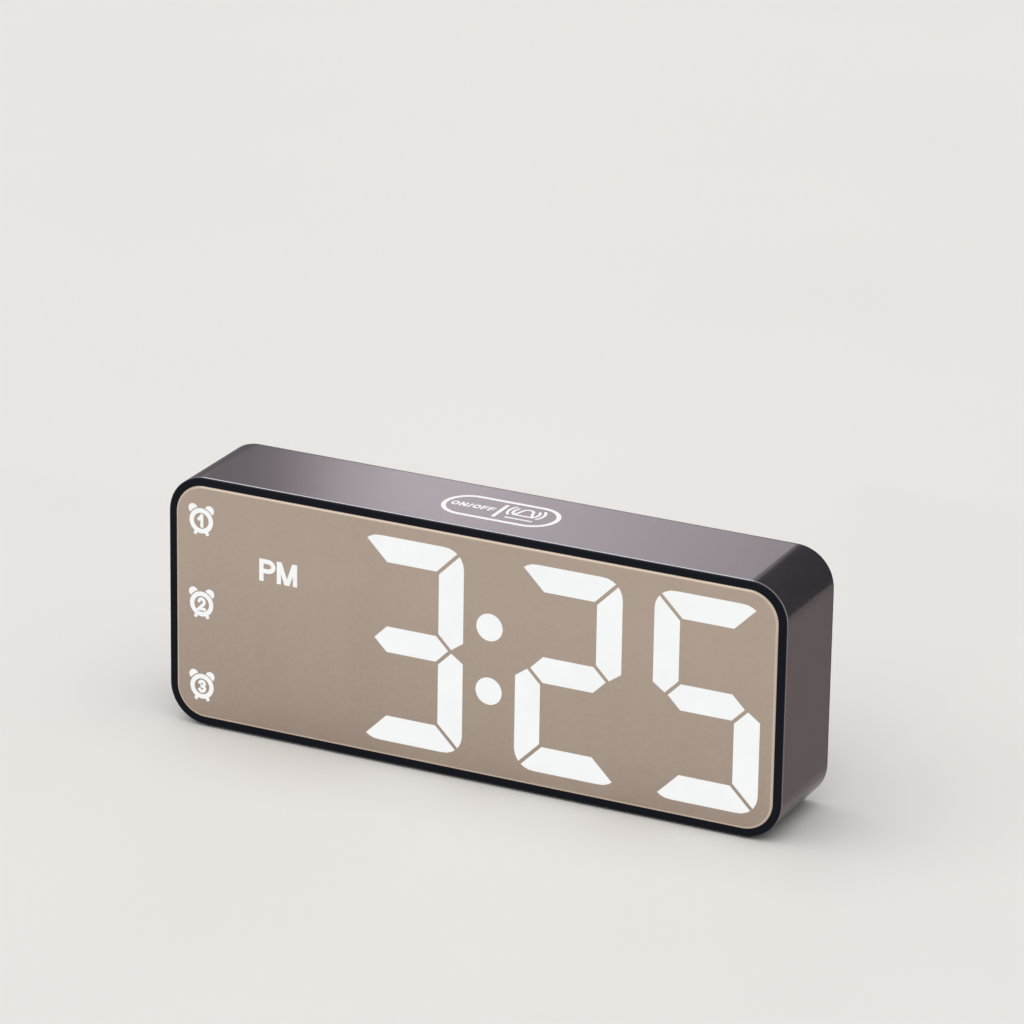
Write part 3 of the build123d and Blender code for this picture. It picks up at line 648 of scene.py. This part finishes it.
LIT_SEGMENTS: dict[int, tuple[Segment, ...]] = {
    2: (Segment.TOP, Segment.UPPER_RIGHT, Segment.MIDDLE, Segment.LOWER_LEFT, Segment.BOTTOM),
    3: (Segment.TOP, Segment.UPPER_RIGHT, Segment.MIDDLE, Segment.LOWER_RIGHT, Segment.BOTTOM),
    5: (Segment.TOP, Segment.UPPER_LEFT, Segment.MIDDLE, Segment.LOWER_RIGHT, Segment.BOTTOM),
}


@dataclass
class LitTime:
    """The large digits and the colon, as they show on the lens when lit."""

    width: float = 27.1
    height: float = 51.7
    corner_radius: float = 5.0
    stroke: float = 6.45
    gap: float = 0.9
    shoulder: float = 2.6
    hour_x: float = -15.1
    minute_tens_x: float = 25.65
    minute_units_x: float = 60.8
    colon_x: float = 5.275
    colon_rise: float = 8.0
    colon_radius: float = 3.4
    lift: float = 0.03

    def middle_z(self) -> float:
        """Height of the lens's middle."""
        low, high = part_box(Side.FRONT.value)
        return (low.z + high.z) / 2 / MM

    def outline(self, segment: Segment) -> np.ndarray:
        """Outline of one bar about its digit's middle.

        The bars are mitred where they meet, each half of a gap from the diagonal, and the digit's outer
        corners are rounded by pulling the points into a rounded rectangle.

        Args:
            segment: Which bar.

        Returns:
            Flat points round the bar.
        """
        half = np.array([self.width, self.height]) / 2
        step = self.gap / math.sqrt(2)
        inner = half - self.stroke
        shape, side, up = segment.value
        if shape == "across":
            corners = [(step - half[0], half[1]), (half[0] - step, half[1])]
            corners += [(inner[0] - step, inner[1]), (step - inner[0], inner[1])]
        elif shape == "waist":
            tip = half[0] - self.stroke / 2 - step
            end = inner[0] - step
            rise = self.stroke / 2
            corners = [(-tip, 0), (-end, -rise), (end, -rise), (tip, 0), (end, rise), (-end, rise)]
        else:
            corners = [(-half[0], half[1] - step), (-inner[0], inner[1] - step)]
            tip = self.stroke / 2 - step + self.gap / 2 - half[0]
            corners += [(-inner[0], self.stroke / 2 + step), (tip, self.gap / 2), (-half[0], self.shoulder)]
        turned = np.array(corners) * (side, up)
        return within_corners(along_edges(turned), half, self.corner_radius)

    def build(self) -> None:
        """Makes one piece for each digit and one for the colon."""
        middle = self.middle_z()
        shown = {
            "digit_hour": (3, self.hour_x),
            "digit_minute_tens": (2, self.minute_tens_x),
            "digit_minute_units": (5, self.minute_units_x),
        }
        for name, (value, x) in shown.items():
            digit = Relief(name, Side.FRONT, self.lift)
            for segment in LIT_SEGMENTS[value]:
                digit.fill(self.outline(segment) + (x, middle))
            digit.build(DISPLAY_WHITE)
        colon = Relief("colon_dots", Side.FRONT, self.lift)
        for side in (-1, 1):
            colon.fill(arc((self.colon_x, middle + side * self.colon_rise), self.colon_radius, 0, 352.5, 48))
        colon.build(DISPLAY_WHITE)


@dataclass
class AfternoonSign:
    """The two letters for the afternoon, in the upper loop of the unlit digit."""

    x: float = -50.5
    z: float = 43.35
    height: float = 5.6
    weight: float = 1.12
    gap: float = 0.38
    lift: float = 0.03

    def build(self) -> None:
        """Makes the letters."""
        sign = Relief("afternoon_sign", Side.FRONT, self.lift)
        sign.write("PM", (self.x, self.z), self.height, self.weight, self.gap)
        sign.build(DISPLAY_WHITE)


@dataclass
class AlarmSigns:
    """Three small alarm clocks, numbered from the top."""

    x: float = -71.2
    heights: tuple[float, ...] = (52.8, 31.6, 10.4)
    ring_radius: float = 2.59
    ring_width: float = 1.15
    bell_x: float = 2.2
    bell_rise: float = 2.85
    bell_radius: float = 1.22
    bell_gap: float = 0.28
    foot_x: float = 1.35
    foot_drop: float = 2.6
    foot_length: float = 1.0
    foot_width: float = 0.85
    foot_angle: float = 68.0
    numeral_height: float = 3.35
    numeral_weight: float = 0.78
    lift: float = 0.03

    def bell(self, side: int) -> np.ndarray:
        """Outline of a bell: a disc whose inner side is pushed out to a gap from the ring."""
        disc = arc((side * self.bell_x, self.bell_rise), self.bell_radius, 0, 352.5, 48)
        reach = np.linalg.norm(disc, axis=1, keepdims=True)
        least = self.ring_radius + self.ring_width / 2 + self.bell_gap
        return disc * np.maximum(1, least / reach)

    def build(self) -> None:
        """Makes one piece for each sign: ring, bells, feet and numeral."""
        angle = math.radians(self.foot_angle)
        for number, z in enumerate(self.heights, 1):
            sign = Relief(f"alarm_sign_{number}", Side.FRONT, self.lift)
            place = np.array([self.x, z])
            sign.stroke(arc((0, 0), self.ring_radius, 0, 360, 61) + place, self.ring_width)
            for side in (-1, 1):
                sign.fill(self.bell(side) + place)
                lean = np.array([side * math.cos(angle), -math.sin(angle)])
                root = np.array([side * self.foot_x, -self.foot_drop])
                sign.stroke(np.array([root, root + lean * self.foot_length]) + place, self.foot_width)
            sign.write(str(number), (self.x, z), self.numeral_height, self.numeral_weight, 0)
            sign.build(DISPLAY_WHITE)


@dataclass
class TouchMark:
    """The white print on the top: a pill split in two, with a switch's words and a bell."""

    middle: tuple[float, float] = (0.95, 0.1)
    width: float = 28.7
    depth: float = 12.3
    line: float = 1.12
    divider_x: float = 0.75
    divider_half: float = 4.2
    divider_line: float = 0.95
    words_x: float = -6.3
    words_height: float = 2.45
    words_weight: float = 0.56
    words_gap: float = 0.25
    bell_x: float = 6.9
    bell_y: float = 1.5
    bell_width: float = 3.6
    bell_height: float = 4.2
    bell_line: float = 0.7
    wave_radii: tuple[float, ...] = (3.2, 4.5)
    wave_spread: float = 38.0
    bar_y: float = -3.0
    bar_half: float = 3.6
    lift: float = 0.012

    def pill(self) -> np.ndarray:
        """Middle line of the pill: two half circles joined by straight runs."""
        radius = self.depth / 2
        run = self.width / 2 - radius
        right = arc((self.middle[0] + run, self.middle[1]), radius, -90, 90, 36)
        left = arc((self.middle[0] - run, self.middle[1]), radius, 90, 270, 36)
        return np.vstack([right, left, right[:1]])

    def bell(self) -> np.ndarray:
        """Outline of a bell: a dome, flanks that flare towards the foot, and a straight foot."""
        half = self.bell_width / 2
        dome = arc((0, self.bell_height / 2 - half * 0.75), half * 0.75, 0, 180, 16)
        foot = np.array([(-half * 1.25, -self.bell_height / 2), (half * 1.25, -self.bell_height / 2)])
        return np.vstack([dome, foot, dome[:1]]) + (self.bell_x, self.bell_y)

    def build(self) -> None:
        """Makes the print as one piece."""
        mark = Relief("touch_mark", Side.TOP, self.lift)
        mark.stroke(self.pill(), self.line)
        reach = np.array([(0, -self.divider_half), (0, self.divider_half)])
        mark.stroke(reach + (self.divider_x, self.middle[1]), self.divider_line)
        words_middle = (self.words_x, self.middle[1])
        mark.write("ON/OFF", words_middle, self.words_height, self.words_weight, self.words_gap)
        mark.stroke(self.bell(), self.bell_line)
        for radius in self.wave_radii:
            for facing in (0, 180):
                ends = (facing - self.wave_spread, facing + self.wave_spread)
                mark.stroke(arc((self.bell_x, self.bell_y), radius, *ends), self.bell_line)
        bar = np.array([(-self.bar_half, 0), (self.bar_half, 0)])
        mark.stroke(bar + (self.bell_x, self.bar_y), self.bell_line)
        mark.build(PRINT_WHITE)


@dataclass
class EdgeSkin(ABC):
    """A thin skin that follows the rounded outline of a solid's front edge."""

    name: str
    node: str
    slot: str
    corner_radius: float
    finish: Finish
    steps: int = 20

    @abstractmethod
    def profile(self) -> np.ndarray:
        """Rows of inset from the outline and depth behind the solid's front, round the skin."""

    def build(self) -> None:
        """Makes the skin.

        Two parameters span it: the way round the solid's outline, and the way round the skin's profile. A
        point is the outline's nearest corner middle, plus the corner's radius less the profile's inset along
        the way out, and lies as deep behind the solid's front as the profile says.
        """
        low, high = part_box(self.node)
        profile = self.profile()
        quarter = np.radians(np.linspace(0, 90, self.steps))
        angle = (np.radians([0, 90, 180, 270])[:, None] + quarter[None, :]).ravel()
        way = np.column_stack([np.cos(angle), np.sin(angle)])
        signs = np.repeat([(1, 1), (-1, 1), (-1, -1), (1, -1)], self.steps, axis=0)
        half = np.array([high.x - low.x, high.z - low.z]) / 2 / MM - self.corner_radius
        middle = np.array([high.x + low.x, high.z + low.z]) / 2 / MM
        reach = (self.corner_radius - profile[:, 0])[None, :, None]
        flat = (middle + signs * half)[:, None, :] + way[:, None, :] * reach
        depth = np.broadcast_to(low.y / MM + profile[:, 1], flat.shape[:2])
        points = np.stack([flat[:, :, 0], depth, flat[:, :, 1]], axis=2).reshape(-1, 3)
        count, turns = flat.shape[:2]
        ring = np.arange(count)[:, None]
        turn = np.arange(turns)[None, :]
        ahead = (ring + 1) % count
        after = (turn + 1) % turns
        quads = [ring * turns + turn, ring * turns + after, ahead * turns + after, ahead * turns + turn]
        piece = Piece(self.name)
        piece.gather(points, np.stack(quads, axis=2).reshape(-1, 4).tolist())
        piece.build(self.finish)


@dataclass
class LensBevel(EdgeSkin):
    """The bevel round the mirror lens, made bright by a painted highlight."""

    name: str = "lens_bevel"
    node: str = "mirror_lens"
    slot: str = "lens_mirror"
    corner_radius: float = 7.5
    finish: Finish = BEVEL_GOLD
    bevel: float = 0.35
    lip: float = 0.15
    skin: float = 0.015

    def profile(self) -> np.ndarray:
        """Along the bevel and a little onto the front, then back one skin further out."""
        inner = self.bevel + self.lip
        return np.array([
            (0, self.bevel),
            (self.bevel, 0),
            (inner, 0),
            (inner, -self.skin),
            (self.bevel - self.skin, -self.skin),
            (-self.skin, self.bevel - self.skin),
        ])


@dataclass
class SleeveEdge(EdgeSkin):
    """The polished round edge at the front of the sleeve."""

    name: str = "sleeve_edge"
    node: str = "housing"
    slot: str = "case_grey"
    corner_radius: float = 9.5
    finish: Finish = EDGE_POLISH
    edge_radius: float = 0.5
    skin: float = 0.012

    def profile(self) -> np.ndarray:
        """A quarter circle from the front to the side, then back one skin further out."""
        inner = arc((self.edge_radius, self.edge_radius), self.edge_radius, 270, 180, 7)
        outer = arc((self.edge_radius, self.edge_radius), self.edge_radius + self.skin, 180, 270, 7)
        return np.vstack([inner, outer])


@dataclass(frozen=True)
class Screen:
    """A dim card by the clock: its ends across, its two edges' places and heights, and its glow."""

    x: Spot
    y: Spot
    z: Spot
    glow: Colour

    def corners(self) -> np.ndarray:
        """The card's corners, from the left end of its first edge round."""
        (left, right), first, second = self.x, (self.y[0], self.z[0]), (self.y[1], self.z[1])
        return np.array([(left, *first), (right, *first), (right, *second), (left, *second)])


@dataclass
class Studio:
    """A pale floor, soft light from above and the photograph's camera."""

    floor_half: float = 6000.0
    floor_colour: Colour = (0.84, 0.82, 0.795)
    sky_level: float = 0.86
    fill_level: float = 0.46
    sun_strength: float = 1.7
    sun_angle: float = 90.0
    sun_from: tuple[float, float, float] = (-0.12, -0.3, 1.0)
    window_y: Spot = (400.0, 400.0)
    window_z: Spot = (110.0, 350.0)
    window_x: tuple[float, ...] = (-330.0, -272.0, -250.0, -220.0, -151.0, -110.0, -76.0)
    window_levels: tuple[float, ...] = (0.66, 0.72, 2.7, 3.1, 2.46, 2.08, 1.7)
    window_tint: Colour = (1.0, 0.91, 0.985)
    left_screen: Screen = Screen((-210.0, -90.0), (120.0, 120.0), (1.0, 95.0), (0.27, 0.25, 0.27))
    right_screen: Screen = Screen((0.0, 280.0), (220.0, 220.0), (1.0, 260.0), (0.105, 0.125, 0.16))
    side_mat: Screen = Screen((81.0, 200.0), (-20.0, 200.0), (0.3, 0.3), (0.69, 0.575, 0.565))
    softbox_level: float = 3.3
    softbox_middle: tuple[float, float, float] = (-390.0, 90.0, 800.0)
    softbox_half: Spot = (240.0, 480.0)
    eye: tuple[float, float, float] = (553.2496, -1135.2684, 537.4066)
    right: tuple[float, float, float] = (0.8976144, 0.4405360, 0.0147106)
    up: tuple[float, float, float] = (-0.1672639, 0.3095513, 0.9360560)
    focal_px: float = 5776.306
    image_px: float = 1024.0
    sensor: float = 36.0

    def camera(self) -> None:
        """Sets the camera from its eye point and its right and up axes."""
        data = bpy.data.cameras.new("photo_camera")
        data.sensor_width = self.sensor
        data.lens = self.focal_px / self.image_px * self.sensor
        data.clip_end = 20.0
        right, up = Vector(self.right), Vector(self.up)
        back = right.cross(up)
        turn = Matrix((right, up, back)).transposed().to_4x4()
        camera = bpy.data.objects.new("photo_camera", data)
        bpy.context.scene.collection.objects.link(camera)
        camera.matrix_world = Matrix.Translation(Vector(self.eye) * MM) @ turn
        bpy.context.scene.camera = camera

    def card(self, name: str, corners: np.ndarray, material: bpy.types.Material) -> bpy.types.Object:
        """A flat card of four corners that isn't part of the clock."""
        mesh = bpy.data.meshes.new(name)
        mesh.from_pydata((corners * MM).tolist(), [], [[0, 1, 2, 3]])
        mesh.materials.append(material)
        card = bpy.data.objects.new(name, mesh)
        bpy.context.scene.collection.objects.link(card)
        return card

    def mirrored_card(self, name: str, corners: np.ndarray, bench: NodeBench) -> None:
        """A card that shows in sheen and mirrors only, and throws neither light nor shadow."""
        bench.set(Base_Color=(0.01, 0.01, 0.01, 1.0), Specular_IOR_Level=0.0, Roughness=1.0)
        card = self.card(name, corners, bench.material)
        card.visible_camera = False
        card.visible_diffuse = False
        card.visible_shadow = False
        card.visible_transmission = False

    def cards(self) -> None:
        """The window, screens and softbox round the clock, as the sheen of its case shows them."""
        window = NodeBench("window_glow")
        first, last = self.window_x[0], self.window_x[-1]
        peak = max(self.window_levels)
        split = window.add("ShaderNodeSeparateXYZ")
        span = window.add("ShaderNodeMapRange", From_Min=first * MM, From_Max=last * MM)
        ramp = window.add("ShaderNodeValToRGB")
        stops = ramp.color_ramp.elements
        for x, level in zip(self.window_x[1:-1], self.window_levels[1:-1]):
            stops.new((x - first) / (last - first)).color = shade(self.window_tint, level / peak)
        stops[0].color = shade(self.window_tint, self.window_levels[0] / peak)
        stops[len(stops) - 1].color = shade(self.window_tint, self.window_levels[-1] / peak)
        window.join(window.place, split.inputs["Vector"])
        window.join(split.outputs["X"], span.inputs["Value"])
        window.join(span.outputs["Result"], ramp.inputs["Fac"])
        window.join(ramp.outputs["Color"], window.shader.inputs["Emission Color"])
        window.set(Emission_Strength=peak)
        place = Screen((first, last), self.window_y, self.window_z, self.window_tint)
        self.mirrored_card("window_card", place.corners(), window)
        screens = {
            "left_screen": self.left_screen,
            "right_screen": self.right_screen,
            "side_mat": self.side_mat,
        }
        for name, screen in screens.items():
            bench = NodeBench(f"{name}_glow")
            bench.set(Emission_Color=shade(screen.glow, 1), Emission_Strength=1.0)
            self.mirrored_card(f"{name}_card", screen.corners(), bench)
        softbox = NodeBench("softbox_glow")
        softbox.set(Emission_Color=(1.0, 1.0, 1.0, 1.0), Emission_Strength=self.softbox_level)
        w, d = self.softbox_half
        square = np.array([(-w, -d, 0), (-w, d, 0), (w, d, 0), (w, -d, 0)])
        self.mirrored_card("softbox_card", square + self.softbox_middle, softbox)

    def floor(self) -> None:
        """The pale table top, with a faint sheen."""
        bench = NodeBench("floor_pale")
        clouds = bench.noise(160.0, 2.0)
        dark = tuple(c * 0.985 for c in self.floor_colour)
        bench.join(bench.blend(clouds, dark, self.floor_colour), bench.shader.inputs["Base Color"])
        bench.set(Roughness=0.6, Specular_IOR_Level=0.06)
        h = self.floor_half
        self.card("floor", np.array([(-h, -h, 0), (h, -h, 0), (h, h, 0), (-h, h, 0)]), bench.material)

    def sky(self) -> None:
        """A pale surround: its own level where it is seen or mirrored, and a lower one as light."""
        world = bpy.data.worlds.new("pale_surround")
        world.use_nodes = True
        tree = world.node_tree
        path = tree.nodes.new("ShaderNodeLightPath")
        seen = tree.nodes.new("ShaderNodeMath")
        seen.operation = "MAXIMUM"
        mirrored = tree.nodes.new("ShaderNodeMath")
        mirrored.operation = "MAXIMUM"
        level = tree.nodes.new("ShaderNodeMapRange")
        level.inputs["To Min"].default_value = self.fill_level
        level.inputs["To Max"].default_value = self.sky_level
        background = tree.nodes["Background"]
        background.inputs["Color"].default_value = (1.0, 0.99, 0.975, 1.0)
        tree.links.new(path.outputs["Is Glossy Ray"], mirrored.inputs[0])
        tree.links.new(path.outputs["Is Transmission Ray"], mirrored.inputs[1])
        tree.links.new(path.outputs["Is Camera Ray"], seen.inputs[0])
        tree.links.new(mirrored.outputs[0], seen.inputs[1])
        tree.links.new(seen.outputs[0], level.inputs["Value"])
        tree.links.new(level.outputs["Result"], background.inputs["Strength"])
        bpy.context.scene.world = world

    def lamps(self) -> None:
        """A wide soft light from above, a little to the front and the left, that shows in no sheen."""
        data = bpy.data.lights.new("overhead_light", "SUN")
        data.energy = self.sun_strength
        data.angle = math.radians(self.sun_angle)
        lamp = bpy.data.objects.new("overhead_light", data)
        lamp.rotation_mode = "QUATERNION"
        lamp.rotation_quaternion = Vector(self.sun_from).to_track_quat("Z", "Y")
        lamp.visible_glossy = False
        bpy.context.scene.collection.objects.link(lamp)

    def build(self) -> None:
        """Sets up the floor, the light and the camera."""
        self.floor()
        self.sky()
        self.cards()
        self.lamps()
        self.camera()
        bpy.context.scene.view_settings.view_transform = "Standard"


def main() -> None:
    """Dresses the solids, then makes the lit signs, the print and the studio."""
    logging.basicConfig(level=logging.INFO, format="%(message)s")
    ClockSolids().dress()
    LitTime().build()
    AfternoonSign().build()
    AlarmSigns().build()
    TouchMark().build()
    LensBevel().build()
    SleeveEdge().build()
    Studio().build()


if __name__ == "__main__":
    main()
